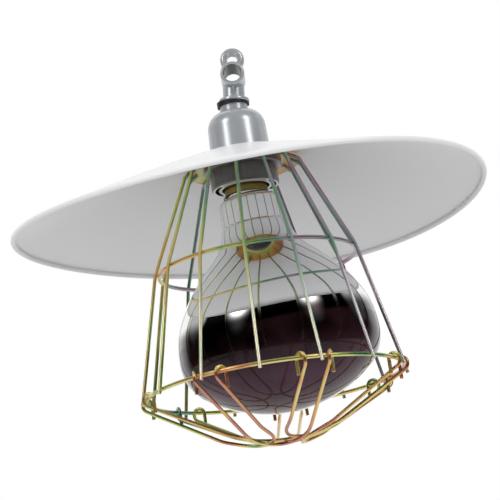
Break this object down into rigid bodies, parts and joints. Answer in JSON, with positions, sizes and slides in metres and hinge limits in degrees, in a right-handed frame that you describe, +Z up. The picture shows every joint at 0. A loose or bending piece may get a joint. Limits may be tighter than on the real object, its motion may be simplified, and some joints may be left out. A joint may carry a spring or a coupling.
{
  "type": "heat lamp",
  "caption": "Hanging heat lamp with a wide white shade, a reflector bulb inside a bent-wire guard with a hooked grille, and a grey hanging eye with a cable inlet.",
  "frame": {"origin": "centre of the hole in the hanging eye", "axes": "+Z up along the shade's axis, +Y backwards along the eye's hole, away from the cable inlet's mouth, +X to the right seen from the cable inlet's side"},
  "size_m": [0.3, 0.3, 0.2578],
  "materials": {
    "hanger_plastic": "satin grey moulding",
    "gasket_rubber": "black",
    "plated_steel": "zinc plated",
    "shade_enamel": "white gloss enamel",
    "holder_plastic": "dark grey moulding",
    "holder_ceramic": "unglazed ceramic",
    "contact_brass": "bright",
    "base_metal": "rolled sheet, dull",
    "base_glass": "black glass",
    "bulb_coat": "blown glass, silvered above and clear ruby below",
    "clear_glass": "clear",
    "tungsten": "drawn wire",
    "chromated_steel": "yellow chromated zinc with rainbow tints"
  },
  "bodies": {
    "hanger": {"hanger": "hanger_plastic", "hanger_washer": "plated_steel", "hanger_nut": "plated_steel"},
    "lamp": {"hanger_gasket": "gasket_rubber", "cap": "hanger_plastic", "shade": "shade_enamel", "lampholder_skirt": "holder_plastic", "lampholder_insert": "holder_ceramic", "screw_shell": "contact_brass", "contact_spring": "plated_steel", "terminal_blocks": "contact_brass", "terminal_screws": "plated_steel", "guard_plate": "chromated_steel", "mid_ring": "chromated_steel", "lower_ring": "chromated_steel", "guard_wire_01": "chromated_steel", "guard_wire_02": "chromated_steel", "guard_wire_03": "chromated_steel", "guard_wire_04": "chromated_steel", "guard_wire_05": "chromated_steel", "guard_wire_06": "chromated_steel", "guard_wire_07": "chromated_steel", "guard_wire_08": "chromated_steel", "guard_wire_09": "chromated_steel", "guard_wire_10": "chromated_steel", "guard_wire_11": "chromated_steel", "guard_wire_12": "chromated_steel", "guard_wire_13": "chromated_steel", "guard_wire_14": "chromated_steel"},
    "contact": {"centre_contact": "contact_brass"},
    "bulb": {"base_shell": "base_metal", "base_insulator": "base_glass", "base_contact": "contact_brass", "bulb_glass": "bulb_coat", "stem_mount": "clear_glass", "filament": "tungsten", "lead_wires": "plated_steel", "filament_supports": "tungsten"},
    "grille": {"grille_wire_1": "chromated_steel", "grille_wire_2": "chromated_steel", "grille_wire_3": "chromated_steel", "grille_wire_4": "chromated_steel", "grille_wire_5": "chromated_steel", "grille_wire_6": "chromated_steel", "grille_wire_7": "chromated_steel"}
  },
  "joints": [
    {"name": "lamp_swivel", "type": "hinge", "parent": "hanger", "child": "lamp", "pos_m": [0, 0, 0], "axis": [0.0958, 0, 0.9954], "range_deg": [-90, 90]},
    {"name": "contact_slide", "type": "slide", "parent": "lamp", "child": "contact", "axis": [0, 0, -1], "range_m": [0, 0.0015], "deforming": ["contact_spring"]},
    {"name": "bulb_turn", "type": "hinge", "parent": "contact", "child": "bulb", "pos_m": [-0.00354, 0, -0.08073], "axis": [0, 0, -1], "range_deg": [0, 148]},
    {"name": "grille_hinge", "type": "hinge", "parent": "lamp", "child": "grille", "pos_m": [0.00382, 0.07925, -0.21063], "axis": [0.9957, -0.0924, 0], "range_deg": [0, 100]}
  ],
  "couplings": [
    {"joint": "contact_slide", "follows": "bulb_turn", "m_per_rad": 0.00057757}
  ]
}
